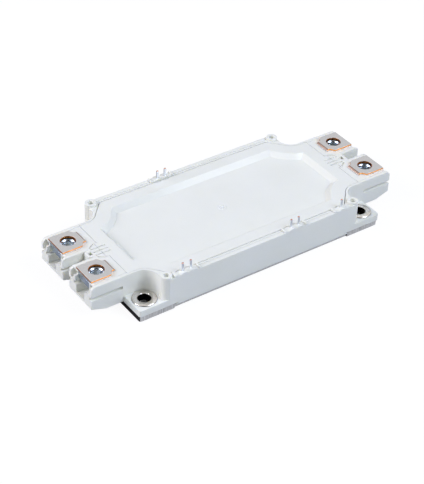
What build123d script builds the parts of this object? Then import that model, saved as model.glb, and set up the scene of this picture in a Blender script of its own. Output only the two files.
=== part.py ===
from build123d import *
import os
from math import acos, cos, degrees, radians

os.makedirs("parts", exist_ok=True)

# Dual IGBT power module: a copper baseplate, a moulded frame with two busbar arms at each end,
# a dished lid, and the soldered circuit under it. Origin: middle of the underside, +X to the
# alternating-current end, +Z up.

# Overall body
MODULE_LENGTH = 152.0
BODY_WIDTH = 62.5
BODY_HEIGHT = 16.0
FIT = 0.1

# Baseplate
BASE_LENGTH = 121.5
BASE_WIDTH = 61.5
BASE_THICKNESS = 3.0
BASE_CORNER_RADIUS = 1.0
BASE_EDGE_BREAK = 0.25
WAIST_LENGTH = 88.4
WAIST_INSET = 0.65

# Screws through the corners, and the steel bushes that take their clamping force
MOUNT_PITCH_X = 110.0
MOUNT_PITCH_Y = 50.0
MOUNT_BORE = 5.5
BUSH_DIAMETER = 10.5
BUSH_PROUD = 0.4
BUSH_RIM_CHAMFER = 0.5

# Frame: corner flanges, walls and skirt
FLANGE_LENGTH = 122.0
FLANGE_THICKNESS = 3.0
FLANGE_RADIUS = 1.0
SCALLOP_RADIUS = 6.0
SKIRT_LENGTH = 85.2
SKIRT_DROP = 1.6
RIM_GROOVE_Y = 29.1
RIM_GROOVE_WIDTH = 0.3
RIM_GROOVE_DEPTH = 0.25

# Frame: the space for the circuit
LEDGE_WIDTH = 1.3
WELL_LENGTH = 98.0
WELL_WIDTH = 43.0
WELL_RADIUS = 3.0
PIN_SHELF_HEIGHT = 2.0

# Stand-offs for the driver board
STANDOFF_PITCH_X = 94.5
STANDOFF_PITCH_Y = 57.5
STANDOFF_DIAMETER = 4.85
STANDOFF_BORE = 2.5
STANDOFF_BORE_DEPTH = 8.0
STANDOFF_PROUD = 1.0

# Arms that carry the screw terminals
TERMINAL_PITCH_X = 137.0
TERMINAL_PITCH_Y = 22.0
ARM_WIDTH = 17.0
ARM_CLEAR_OF_BASE = 0.45
ARM_SLOPE_START = 69.3
ARM_SLOPE_RISE = 2.15
ARM_NOSE_RADIUS = 2.2
ARM_GAP_DEPTH = 9.6
ARM_SKIN = 1.35
GAP_CORNER_WIDTH = 0.9
GAP_CORNER_LENGTH = 2.1
GROOVE_BOTTOM = 9.7
GROOVE_HEIGHT = 1.5
GROOVE_DEPTH = 0.8
GROOVE_LENGTH = 14.5
NOSE_RECESS = 1.6
SIDE_SLOT_WIDTH = 2.15
SIDE_SLOT_BOTTOM = 12.0
SIDE_SLOT_LENGTH = 4.6
SIDE_SLOT_WALL = 0.7
SIDE_SLOT_ROOF = 0.6
NUB_WIDTH = 2.5
NUB_BOTTOM = 11.9
NUB_TOP = 14.3
TIP_BOX_WIDTH = 6.2
TIP_BOX_BOTTOM = 6.6
TIP_BOX_LENGTH = 11.0
DECK_LINE_WIDTH = 0.25
DECK_LINE_DEPTH = 0.2

# Captive nuts, M6
NUT_ACROSS_FLATS = 10.0
NUT_HEIGHT = 5.2
NUT_BORE = 5.0
NUT_CHAMFER = 0.55
NUT_PLAY = 0.15
NUT_BELOW_DECK = 0.4

# Screw terminals, bent from sheet
STRIP = 1.0
PAD_REACH = 5.8
PAD_WIDTH = 11.6
SCREW_HOLE = 6.6
NECK_WIDTH = 7.3
NECK_LENGTH = 1.75
SHOULDER_LENGTH = 1.3
SHOULDER_RADIUS = 1.0
LEG_X = 62.45
RUN_HEIGHT = 8.5
BEND_RADIUS = 1.0
FOOT_X = 46.4
FOOT_LENGTH = 3.5
FOOT_WIDTH = 6.0
MINUS_FOOT_WIDTH = 5.0
OUTPUT_FOOT_SPREAD = 8.6
CROSSING_WIDTH = 3.5

# Creepage comb between each pair of arms
COMB_PITCH = 2.1
COMB_SLIT = 0.6
COMB_LENGTH = 3.1
COMB_DEPTH = 1.6
COMB_POCKET_DEPTH = 4.0
COMB_POCKET_LENGTH = 1.6
COMB_POCKET_WIDTH = 2.0
COMB_WALL = 1.0
COMB_WING_X = 61.9
COMB_WING_Y = 4.1
COMB_WING_LENGTH = 3.4
COMB_WING_ANGLE = 34.0

# Lid
LID_GAP = 0.2
LID_HALF_WIDTH = 28.1
LID_END = 58.7
LID_CORNER_X = 43.3
LID_CORNER_ANGLE = 31.5
LID_EDGE_THICKNESS = 1.8
SCALLOP_WALL = 0.9
TONGUE_WIDTH = 9.8
TONGUE_LENGTH = 1.2
DISH_DEPTH = 2.07
DISH_SLOPE_RUN = 2.3
DISH_HALF_WIDTH = 22.35
DISH_END = 52.7
DISH_CORNER_X = 40.8
DISH_CORNER_RADIUS = 13.2
DISH_CORNER_ANGLE = 38.5
DISH_FLOOR = 1.8
GATE_MARK_DIAMETER = 2.6
GATE_MARK_DEPTH = 0.15
LID_NOTCH_WIDTH = 2.4
LID_NOTCH_DEPTH = 0.6
LID_LINE_WIDTH = 0.6
LID_LINE_LENGTH = 3.4
LID_LINE_DEPTH = 0.6

# Control pins and the clip-in strips that hold them
PIN_PITCH = 3.81
PIN_WIDTH = 0.95
PIN_THICKNESS = 0.7
PIN_TIP_HEIGHT = 20.5
PIN_TIP_CHAMFER = 0.15
PIN_Y = 29.34
PIN_FOOT_LENGTH = 4.4
PIN_FOOT_THICKNESS = 0.8
STRIP_LENGTH_PAIR = 11.6
STRIP_LENGTH_SINGLE = 8.4
STRIP_BOTTOM = 8.0
STRIP_OUTER_Y = 30.55
STRIP_CAP_INSET = 0.1
STRIP_PROUD = 0.2
RIB_WIDTH = 0.8
RIB_PROUD = 0.75
COLLAR_BASE = 3.4
COLLAR_TOP = 1.7
COLLAR_HEIGHT = 0.5
FRONT_LEFT_STRIP_X = -38.1
FRONT_LEFT_PINS_X = -38.03
FRONT_MIDDLE_STRIP_X = 15.4
FRONT_MIDDLE_PINS_X = 15.74
FRONT_RIGHT_STRIP_X = 39.9
FRONT_RIGHT_PIN_X = 40.43
BACK_STRIP_X = -11.6
BACK_PINS_X = -11.57

# Circuit: three ceramic substrates with their copper, chips and wires
SUBSTRATE_LENGTH = 31.0
SUBSTRATE_WIDTH = 40.0
SUBSTRATE_PITCH = 32.5
SUBSTRATE_COUNT = 3
CERAMIC_THICKNESS = 0.6
COPPER_THICKNESS = 0.3
COPPER_MARGIN = 0.8
TRACK_GAP = 0.8
PLUS_TRACK_WIDTH = 15.7
OUTPUT_TRACK_WIDTH = 15.2
CHIP_THICKNESS = 0.2
IGBT_SIZE = 11.0
IGBT_X = -4.5
DIODE_SIZE = 7.5
DIODE_X = 6.0
WIRE_SIZE = 0.4
WIRE_PITCH = 4.0
WIRE_RISE = 2.2
WIRE_SHOULDER = 1.6
WIRE_LANDING = 1.0
IGBT_WIRES = 2
DIODE_WIRES = 1
PIN_WIRE_SHIFT = 0.25
LINK_WIDTH = 3.6
LINK_THICKNESS = 0.5
LINK_RISE = 1.6
LINK_PAD = 1.8
THERMISTOR_LENGTH = 3.2
THERMISTOR_WIDTH = 1.6
THERMISTOR_HEIGHT = 0.9
THERMISTOR_X = -10.5
GEL_TOP = 11.5

# Worked-out places
half_body = BODY_WIDTH / 2
arm_end = MODULE_LENGTH / 2
mount_x = MOUNT_PITCH_X / 2
mount_y = MOUNT_PITCH_Y / 2
terminal_x = TERMINAL_PITCH_X / 2
terminal_y = TERMINAL_PITCH_Y / 2
standoff_x = STANDOFF_PITCH_X / 2
standoff_y = STANDOFF_PITCH_Y / 2
arm_outer = terminal_y + ARM_WIDTH / 2
arm_inner = terminal_y - ARM_WIDTH / 2
arm_root = arm_end - ARM_GAP_DEPTH
arm_bottom = BASE_THICKNESS + ARM_CLEAR_OF_BASE
wall_end = mount_x - SCALLOP_RADIUS
scallop_y = arm_outer + SCALLOP_RADIUS
flange_top = BASE_THICKNESS + FLANGE_THICKNESS
lid_underside = BODY_HEIGHT - LID_EDGE_THICKNESS
shelf_top = BASE_THICKNESS + PIN_SHELF_HEIGHT
nut_bottom = BODY_HEIGHT - NUT_HEIGHT - NUT_BELOW_DECK
tongue_end = LID_END + TONGUE_LENGTH
comb_start = tongue_end + LID_GAP
track_top = BASE_THICKNESS + 2 * COPPER_THICKNESS + CERAMIC_THICKNESS
space_half = LID_HALF_WIDTH - LEDGE_WIDTH
rim_inner = LID_HALF_WIDTH + LID_GAP
quarters = [(1, 1), (-1, 1), (-1, -1), (1, -1)]



def pin_strip_place(side, strip_x, pins_x, pin_count):
    """A pin strip: the wall it sits in, its two ends along X, and where its pins stand."""
    length = STRIP_LENGTH_PAIR if pin_count > 1 else STRIP_LENGTH_SINGLE
    pins = [pins_x + PIN_PITCH * (n - (pin_count - 1) / 2) for n in range(pin_count)]
    return {"side": side, "ends": (strip_x - length / 2, strip_x + length / 2), "pins": pins}


strips = [
    pin_strip_place(-1, FRONT_LEFT_STRIP_X, FRONT_LEFT_PINS_X, 2),
    pin_strip_place(-1, FRONT_MIDDLE_STRIP_X, FRONT_MIDDLE_PINS_X, 2),
    pin_strip_place(-1, FRONT_RIGHT_STRIP_X, FRONT_RIGHT_PIN_X, 1),
    pin_strip_place(1, BACK_STRIP_X, BACK_PINS_X, 2),
]


def save(piece, name):
    piece.label = name
    export_step(piece, f"parts/{name}.step")


def arm_span(half_width):
    """The two ends, along Y, of something that lies in the middle of an arm."""
    return (terminal_y - half_width, terminal_y + half_width)


def block(x_range, y_range, z_range, mode=Mode.ADD):
    """A box given by its two ends along each axis."""
    lows = [min(pair) for pair in (x_range, y_range, z_range)]
    highs = [max(pair) for pair in (x_range, y_range, z_range)]
    sizes = [high - low for low, high in zip(lows, highs)]
    with Locations(tuple(lows)):
        Box(*sizes, align=(Align.MIN, Align.MIN, Align.MIN), mode=mode)


# Baseplate: a slab with four corner tabs and a narrower middle
with BuildPart() as baseplate:
    with BuildSketch():
        RectangleRounded(BASE_LENGTH, BASE_WIDTH, BASE_CORNER_RADIUS)
        with Locations((0, BASE_WIDTH / 2), (0, -BASE_WIDTH / 2)):
            Rectangle(WAIST_LENGTH, 2 * WAIST_INSET, mode=Mode.SUBTRACT)
    extrude(amount=BASE_THICKNESS)
    chamfer(baseplate.faces().sort_by(Axis.Z)[0].edges(), BASE_EDGE_BREAK)
    with GridLocations(MOUNT_PITCH_X, MOUNT_PITCH_Y, 2, 2):
        Hole(MOUNT_BORE / 2)
save(baseplate.part, "baseplate")


# Outline of the lid, which the frame's rim and inner walls follow too
def lid_quarter():
    side = Line((0, LID_HALF_WIDTH), (LID_CORNER_X, LID_HALF_WIDTH))
    radius = SCALLOP_RADIUS + SCALLOP_WALL + LID_GAP
    scallop = CenterArc((mount_x, scallop_y), radius, 180 + LID_CORNER_ANGLE, 90 - LID_CORNER_ANGLE)
    Line(side @ 1, scallop @ 0)
    Polyline(scallop @ 1, (LID_END, (scallop @ 1).Y), (LID_END, 0))


with BuildSketch() as lid_outline:
    with BuildLine():
        lid_quarter()
        mirror(about=Plane.XZ)
        mirror(about=Plane.YZ)
    make_face()

# Frame: one moulding. A quarter of it is built and mirrored, then the pin pockets are cut.
with BuildPart() as frame:
    # Corner flange, on top of the baseplate
    with BuildSketch(Plane.XY.offset(BASE_THICKNESS)) as flange_outline:
        Rectangle(FLANGE_LENGTH / 2, half_body, align=(Align.MIN, Align.MIN))
        fillet(flange_outline.vertices().group_by(Axis.X)[-1].sort_by(Axis.Y)[-1], FLANGE_RADIUS)
    extrude(amount=FLANGE_THICKNESS)
    # Long wall up to the stand-off, the scallop round the corner screw, and the end wall
    with BuildSketch(Plane.XY.offset(flange_top)):
        with BuildLine():
            Polyline(
                (0, 0),
                (0, half_body),
                (standoff_x, half_body),
                (standoff_x, standoff_y),
                (wall_end, standoff_y),
                (wall_end, scallop_y),
            )
            scallop = CenterArc((mount_x, scallop_y), SCALLOP_RADIUS, 180, 90)
            Polyline(scallop @ 1, (arm_root, arm_outer), (arm_root, 0), (0, 0))
        make_face()
    extrude(amount=BODY_HEIGHT - flange_top)
    # Skirt that comes down beside the narrow middle of the baseplate
    skirt_inner = BASE_WIDTH / 2 - WAIST_INSET + FIT
    block((0, SKIRT_LENGTH / 2), (skirt_inner, half_body), (BASE_THICKNESS - SKIRT_DROP, flange_top))
    # Arm, with its underside rising towards the nose
    block((FLANGE_LENGTH / 2, arm_root), (0, arm_outer), (arm_bottom, flange_top))
    with BuildSketch(Plane.XZ.offset(-arm_inner)) as arm_side:
        with BuildLine():
            Polyline(
                (arm_root, arm_bottom),
                (ARM_SLOPE_START, arm_bottom),
                (arm_end, arm_bottom + ARM_SLOPE_RISE),
                (arm_end, BODY_HEIGHT),
                (arm_root, BODY_HEIGHT),
                close=True,
            )
        make_face()
        fillet(arm_side.vertices().group_by(Axis.X)[-1].sort_by(Axis.Y)[-1], ARM_NOSE_RADIUS)
    extrude(amount=-ARM_WIDTH)
    # Stand-off: the column that the long wall ends in
    with Locations((standoff_x, standoff_y, flange_top)):
        Cylinder(
            STANDOFF_DIAMETER / 2,
            BODY_HEIGHT + STANDOFF_PROUD - flange_top,
            align=(Align.CENTER, Align.CENTER, Align.MIN),
        )
    with Locations((standoff_x, standoff_y, BODY_HEIGHT + STANDOFF_PROUD)):
        Hole(STANDOFF_BORE / 2, STANDOFF_BORE_DEPTH)
    # Seat of the bush
    with Locations((mount_x, mount_y, flange_top)):
        Hole(BUSH_DIAMETER / 2, FLANGE_THICKNESS)

    # Side grooves of the arm
    groove_z = (GROOVE_BOTTOM, GROOVE_BOTTOM + GROOVE_HEIGHT)
    groove_x = (arm_end - GROOVE_LENGTH, arm_end)
    block(groove_x, (arm_outer - GROOVE_DEPTH, arm_outer), groove_z, Mode.SUBTRACT)
    inner_groove_x = (arm_root, arm_end)
    block(inner_groove_x, (arm_inner, arm_inner + GROOVE_DEPTH), groove_z, Mode.SUBTRACT)
    # Nut pocket, open at the top, with a box for the screw's end under it
    with BuildSketch(Plane.XY.offset(nut_bottom)):
        with Locations((terminal_x, terminal_y)):
            RegularPolygon(NUT_ACROSS_FLATS / 2 + NUT_PLAY, 6, major_radius=False, rotation=30)
    extrude(amount=BODY_HEIGHT - nut_bottom, mode=Mode.SUBTRACT)
    tip_x = (arm_end - TIP_BOX_LENGTH, arm_end)
    block(tip_x, arm_span(TIP_BOX_WIDTH / 2), (TIP_BOX_BOTTOM, nut_bottom), Mode.SUBTRACT)
    # Nose: the face between the side walls is set back, with an opening in front of the nut
    slot_outer = ARM_WIDTH / 2 - ARM_SKIN
    nose_half = slot_outer - SIDE_SLOT_WIDTH
    recess_x = (arm_end - NOSE_RECESS, arm_end)
    window_z = (nut_bottom, BODY_HEIGHT)
    block(recess_x, arm_span(nose_half), window_z, Mode.SUBTRACT)
    block(recess_x, arm_span(slot_outer), (SIDE_SLOT_BOTTOM, BODY_HEIGHT), Mode.SUBTRACT)
    block((terminal_x, arm_end), arm_span(nose_half - SIDE_SLOT_WALL), window_z, Mode.SUBTRACT)
    # A deep slot at each side of the opening, and a nub beside the slot
    slot_x = (arm_end - SIDE_SLOT_LENGTH, arm_end)
    slot_z = (SIDE_SLOT_BOTTOM, BODY_HEIGHT - SIDE_SLOT_ROOF)
    for side_sign in (1, -1):
        slot_y = (terminal_y + side_sign * nose_half, terminal_y + side_sign * slot_outer)
        block(slot_x, slot_y, slot_z, Mode.SUBTRACT)
        nub_y = (terminal_y + side_sign * (nose_half - NUB_WIDTH), terminal_y + side_sign * nose_half)
        block(recess_x, nub_y, (NUB_BOTTOM, NUB_TOP))
    # Fine lines along the deck, inside the arm's side walls
    line_z = (BODY_HEIGHT - DECK_LINE_DEPTH, BODY_HEIGHT)
    line_end = arm_end - ARM_NOSE_RADIUS
    outer_line = arm_outer - ARM_SKIN
    inner_line = arm_inner + ARM_SKIN
    block((LID_END + LID_GAP, line_end), (outer_line - DECK_LINE_WIDTH, outer_line), line_z, Mode.SUBTRACT)
    block((arm_root, line_end), (inner_line, inner_line + DECK_LINE_WIDTH), line_z, Mode.SUBTRACT)
    # Slot for the terminal's leg and its run into the module
    leg_y = (terminal_y - NECK_WIDTH / 2 - FIT, terminal_y + NECK_WIDTH / 2 + FIT)
    leg_x = (LEG_X - STRIP / 2 - FIT, LEG_X + STRIP / 2 + FIT)
    block(leg_x, leg_y, (RUN_HEIGHT - FIT, BODY_HEIGHT), Mode.SUBTRACT)
    block((mount_x, leg_x[1]), leg_y, (RUN_HEIGHT - FIT, RUN_HEIGHT + STRIP + FIT), Mode.SUBTRACT)
    # Groove along the rim
    groove_y = (RIM_GROOVE_Y, RIM_GROOVE_Y + RIM_GROOVE_WIDTH)
    rim_x = (0, standoff_x - STANDOFF_DIAMETER / 2 - RIM_GROOVE_WIDTH)
    block(rim_x, groove_y, (BODY_HEIGHT - RIM_GROOVE_DEPTH, BODY_HEIGHT), Mode.SUBTRACT)

    mirror(about=Plane.XZ)
    mirror(about=Plane.YZ)

    # Rim, ledge for the lid, and the space for the circuit
    with BuildSketch(Plane.XY.offset(lid_underside)):
        add(lid_outline.sketch)
        offset(amount=LID_GAP, kind=Kind.INTERSECTION, mode=Mode.REPLACE)
        Rectangle(2 * comb_start, TONGUE_WIDTH + 2 * LID_GAP)
    extrude(amount=LID_EDGE_THICKNESS, mode=Mode.SUBTRACT)
    with BuildSketch(Plane.XY.offset(shelf_top)) as space_outline:
        add(lid_outline.sketch)
        offset(amount=-LEDGE_WIDTH, kind=Kind.INTERSECTION, mode=Mode.REPLACE)
    extrude(amount=lid_underside - shelf_top, mode=Mode.SUBTRACT)
    with BuildSketch(Plane.XY.offset(BASE_THICKNESS)) as well_outline:
        RectangleRounded(WELL_LENGTH, WELL_WIDTH, WELL_RADIUS)
    extrude(amount=PIN_SHELF_HEIGHT, mode=Mode.SUBTRACT)

    # Slanted corners of the end wall between the two arms at the left
    with BuildSketch(Plane.XY.offset(arm_bottom)):
        for side_sign in (1, -1):
            with BuildLine():
                Polyline(
                    (-arm_root, side_sign * (arm_inner - GAP_CORNER_WIDTH)),
                    (-arm_root, side_sign * arm_inner),
                    (-arm_root + GAP_CORNER_LENGTH, side_sign * arm_inner),
                    close=True,
                )
            make_face()
    extrude(amount=BODY_HEIGHT - arm_bottom, mode=Mode.SUBTRACT)

    # Creepage comb between the arms
    pocket_middle = arm_root - COMB_WALL - COMB_POCKET_LENGTH / 2
    with BuildSketch(Plane.XY.offset(BODY_HEIGHT)):
        with Locations((pocket_middle, 0), (-pocket_middle, 0)):
            Rectangle(COMB_POCKET_LENGTH, COMB_POCKET_WIDTH)
    extrude(amount=-COMB_POCKET_DEPTH, mode=Mode.SUBTRACT)
    with BuildSketch(Plane.XY.offset(BODY_HEIGHT)):
        for end_sign in (1, -1):
            with Locations((end_sign * (comb_start + COMB_LENGTH / 2), 0)):
                with GridLocations(COMB_LENGTH, COMB_PITCH, 1, 3):
                    Rectangle(COMB_LENGTH, COMB_SLIT)
            for side_sign in (1, -1):
                turn = -end_sign * side_sign * COMB_WING_ANGLE
                with Locations((end_sign * COMB_WING_X, side_sign * COMB_WING_Y)):
                    Rectangle(COMB_WING_LENGTH, COMB_SLIT, rotation=turn)
    extrude(amount=-COMB_DEPTH, mode=Mode.SUBTRACT)
    # Pockets for the pin strips, and a slot under each pin down to the shelf its foot lies on
    for strip in strips:
        pocket_x = (strip["ends"][0] - FIT, strip["ends"][1] + FIT)
        pocket_y = (strip["side"] * (rim_inner - FIT), strip["side"] * (STRIP_OUTER_Y + FIT))
        block(pocket_x, pocket_y, (STRIP_BOTTOM, BODY_HEIGHT), Mode.SUBTRACT)
        for pin_x in strip["pins"]:
            slot_x = (pin_x - PIN_WIDTH / 2 - FIT, pin_x + PIN_WIDTH / 2 + FIT)
            slot_y = (strip["side"] * (space_half - FIT), strip["side"] * (PIN_Y + PIN_THICKNESS / 2 + FIT))
            block(slot_x, slot_y, (shelf_top, STRIP_BOTTOM), Mode.SUBTRACT)
save(frame.part, "housing_frame")

# Outline of the dish in the lid
with BuildSketch() as dish_outline:
    with BuildLine():
        side = Line((0, DISH_HALF_WIDTH), (DISH_CORNER_X, DISH_HALF_WIDTH))
        corner_end = degrees(acos((mount_x - DISH_END) / DISH_CORNER_RADIUS))
        corner = CenterArc(
            (mount_x, scallop_y),
            DISH_CORNER_RADIUS,
            180 + DISH_CORNER_ANGLE,
            corner_end - DISH_CORNER_ANGLE,
        )
        Line(side @ 1, corner @ 0)
        Line(corner @ 1, (DISH_END, 0))
        mirror(about=Plane.XZ)
        mirror(about=Plane.YZ)
    make_face()

# Lid: an edge that lies on the frame's ledge, and a dished middle
dish_bottom = BODY_HEIGHT - DISH_DEPTH
with BuildPart() as lid:
    with BuildSketch(Plane.XY.offset(lid_underside)):
        add(lid_outline.sketch)
        Rectangle(2 * tongue_end, TONGUE_WIDTH)
    extrude(amount=LID_EDGE_THICKNESS)
    with BuildSketch(Plane.XY.offset(dish_bottom - DISH_FLOOR)):
        add(dish_outline.sketch)
    extrude(amount=lid_underside - dish_bottom + DISH_FLOOR)
    with BuildSketch(Plane.XY.offset(BODY_HEIGHT)):
        add(dish_outline.sketch)
    with BuildSketch(Plane.XY.offset(dish_bottom)):
        add(dish_outline.sketch)
        offset(amount=-DISH_SLOPE_RUN, kind=Kind.INTERSECTION, mode=Mode.REPLACE)
    loft(mode=Mode.SUBTRACT)
    # Round mark where the mould was filled
    with Locations((0, 0, dish_bottom)):
        Hole(GATE_MARK_DIAMETER / 2, GATE_MARK_DEPTH)
    # Notches that keep the edge clear of the pins
    for strip in strips:
        for pin_x in strip["pins"]:
            notch_x = (pin_x - LID_NOTCH_WIDTH / 2, pin_x + LID_NOTCH_WIDTH / 2)
            notch_y = (strip["side"] * (LID_HALF_WIDTH - LID_NOTCH_DEPTH), strip["side"] * LID_HALF_WIDTH)
            block(notch_x, notch_y, (lid_underside, BODY_HEIGHT), Mode.SUBTRACT)
    # Grooves that carry the comb's slits on to the lid
    for end_sign in (1, -1):
        for row in (-1, 0, 1):
            line_y = (row * COMB_PITCH - LID_LINE_WIDTH / 2, row * COMB_PITCH + LID_LINE_WIDTH / 2)
            line_x = (end_sign * (tongue_end - LID_LINE_LENGTH), end_sign * tongue_end)
            block(line_x, line_y, (BODY_HEIGHT - LID_LINE_DEPTH, BODY_HEIGHT), Mode.SUBTRACT)
save(lid.part, "lid")

# Pieces that the gel is poured round
potted = []

# Copper tracks, as strips along X: the middle of each and its width
copper_half = SUBSTRATE_WIDTH / 2 - COPPER_MARGIN
plus_track = (copper_half - PLUS_TRACK_WIDTH / 2, PLUS_TRACK_WIDTH)
output_top = copper_half - PLUS_TRACK_WIDTH - TRACK_GAP
output_track = (output_top - OUTPUT_TRACK_WIDTH / 2, OUTPUT_TRACK_WIDTH)
minus_top = output_top - OUTPUT_TRACK_WIDTH - TRACK_GAP
minus_track = ((minus_top - copper_half) / 2, copper_half + minus_top)
tracks = {"plus": plus_track, "output": output_track, "minus": minus_track}
substrate_xs = [SUBSTRATE_PITCH * (n - (SUBSTRATE_COUNT - 1) / 2) for n in range(SUBSTRATE_COUNT)]

# Screw terminals: contact pad over the nut, leg down into the frame, run inwards, foot on a track
terminals = {
    "terminal_plus": (-1, 1, plus_track[0], FOOT_WIDTH),
    "terminal_minus": (-1, -1, minus_track[0], MINUS_FOOT_WIDTH),
    "terminal_output_a": (1, 1, output_track[0] + OUTPUT_FOOT_SPREAD / 2, FOOT_WIDTH),
    "terminal_output_b": (1, -1, output_track[0] - OUTPUT_FOOT_SPREAD / 2, FOOT_WIDTH),
}
pad_end = terminal_x + PAD_REACH
leg_inner = LEG_X - STRIP / 2
leg_outer = LEG_X + STRIP / 2
foot_outer = FOOT_X + STRIP / 2
for name, (end_sign, side_sign, foot_y, foot_width) in terminals.items():
    middle = side_sign * terminal_y
    neck_y = (middle - NECK_WIDTH / 2, middle + NECK_WIDTH / 2)
    foot_span = (foot_y - foot_width / 2, foot_y + foot_width / 2)
    with BuildPart() as terminal:
        with BuildSketch(Plane.XY.offset(BODY_HEIGHT)) as pad_outline:
            with BuildLine():
                Polyline(
                    (end_sign * leg_inner, middle),
                    (end_sign * leg_inner, middle + NECK_WIDTH / 2),
                    (end_sign * (leg_inner + NECK_LENGTH), middle + NECK_WIDTH / 2),
                    (end_sign * (leg_inner + NECK_LENGTH + SHOULDER_LENGTH), middle + PAD_WIDTH / 2),
                    (end_sign * pad_end, middle + PAD_WIDTH / 2),
                    (end_sign * pad_end, middle),
                )
                mirror(about=Plane.XZ.offset(-middle))
            make_face()
            shoulders = pad_outline.vertices().filter_by(
                lambda v: leg_inner + STRIP < abs(v.X) < terminal_x
            )
            fillet(shoulders, SHOULDER_RADIUS)
            with Locations((end_sign * terminal_x, middle)):
                Circle(SCREW_HOLE / 2, mode=Mode.SUBTRACT)
        extrude(amount=STRIP)
        leg_range = (end_sign * leg_inner, end_sign * leg_outer)
        block(leg_range, neck_y, (RUN_HEIGHT, BODY_HEIGHT + STRIP))
        block((end_sign * FOOT_X, end_sign * leg_outer), neck_y, (RUN_HEIGHT, RUN_HEIGHT + STRIP))
        crossing_x = (end_sign * (foot_outer - STRIP), end_sign * (foot_outer - STRIP + CROSSING_WIDTH))
        crossing_y = (min(neck_y[0], foot_span[0]), max(neck_y[1], foot_span[1]))
        block(crossing_x, crossing_y, (RUN_HEIGHT, RUN_HEIGHT + STRIP))
        drop_x = (end_sign * (foot_outer - STRIP), end_sign * foot_outer)
        block(drop_x, foot_span, (track_top, RUN_HEIGHT + STRIP))
        pad_x = (end_sign * (foot_outer - FOOT_LENGTH), end_sign * foot_outer)
        block(pad_x, foot_span, (track_top, track_top + STRIP))
        # Rounded outside of the bend at the top of the leg, and of the one at its foot
        across = terminal.edges().filter_by(Axis.Y)
        top_bend = across.filter_by(
            lambda e: abs(abs(e.center().X) - leg_inner) < FIT and e.center().Z > BODY_HEIGHT + FIT
        )
        low_bend = across.filter_by(
            lambda e: abs(abs(e.center().X) - leg_outer) < FIT and e.center().Z < RUN_HEIGHT + FIT
        )
        fillet(top_bend + low_bend, BEND_RADIUS)
    save(terminal.part, name)
    potted.append(terminal.part)

# Captive nuts
with BuildPart() as nut:
    with BuildSketch():
        RegularPolygon(NUT_ACROSS_FLATS / 2, 6, major_radius=False, rotation=30)
    extrude(amount=NUT_HEIGHT)
    with BuildSketch(Plane.XZ):
        nut_corner = NUT_ACROSS_FLATS / 2 / cos(radians(30))
        with BuildLine():
            Polyline(
                (0, 0),
                (nut_corner, 0),
                (nut_corner, NUT_HEIGHT - NUT_CHAMFER / 2),
                (nut_corner - NUT_CHAMFER, NUT_HEIGHT),
                (0, NUT_HEIGHT),
                close=True,
            )
        make_face()
    revolve(axis=Axis.Z, mode=Mode.INTERSECT)
    with Locations((0, 0, NUT_HEIGHT)):
        CounterSinkHole(NUT_BORE / 2, NUT_BORE / 2 + NUT_CHAMFER, counter_sink_angle=90)
with BuildPart() as terminal_nuts:
    with Locations((0, 0, nut_bottom)):
        with GridLocations(TERMINAL_PITCH_X, TERMINAL_PITCH_Y, 2, 2):
            add(nut.part)
save(terminal_nuts.part, "terminal_nuts")

# Mounting bushes
bush_top = flange_top + BUSH_PROUD
for number, (end_sign, side_sign) in enumerate(quarters, start=1):
    with BuildPart(Location((end_sign * mount_x, side_sign * mount_y, BASE_THICKNESS))) as bush:
        Cylinder(
            BUSH_DIAMETER / 2,
            bush_top - BASE_THICKNESS,
            align=(Align.CENTER, Align.CENTER, Align.MIN),
        )
        chamfer(bush.edges().sort_by(Axis.Z)[-1], BUSH_RIM_CHAMFER)
        with Locations((0, 0, bush_top - BASE_THICKNESS)):
            Hole(MOUNT_BORE / 2)
    save(bush.part, f"mounting_bush_{number}")

# Control pins, each an upright flat wire with a foot turned inwards
pin_number = 0
for strip in strips:
    side_sign = strip["side"]
    for pin_x in strip["pins"]:
        pin_number += 1
        pin_range = (pin_x - PIN_WIDTH / 2, pin_x + PIN_WIDTH / 2)
        upright_y = (side_sign * (PIN_Y - PIN_THICKNESS / 2), side_sign * (PIN_Y + PIN_THICKNESS / 2))
        foot_y = (side_sign * (PIN_Y - PIN_FOOT_LENGTH), side_sign * PIN_Y)
        with BuildPart() as pin:
            block(pin_range, upright_y, (shelf_top, PIN_TIP_HEIGHT))
            chamfer(pin.faces().sort_by(Axis.Z)[-1].edges(), PIN_TIP_CHAMFER)
            block(pin_range, foot_y, (shelf_top, shelf_top + PIN_FOOT_THICKNESS))
        save(pin.part, f"control_pin_{pin_number}")
        potted.append(pin.part)

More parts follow.
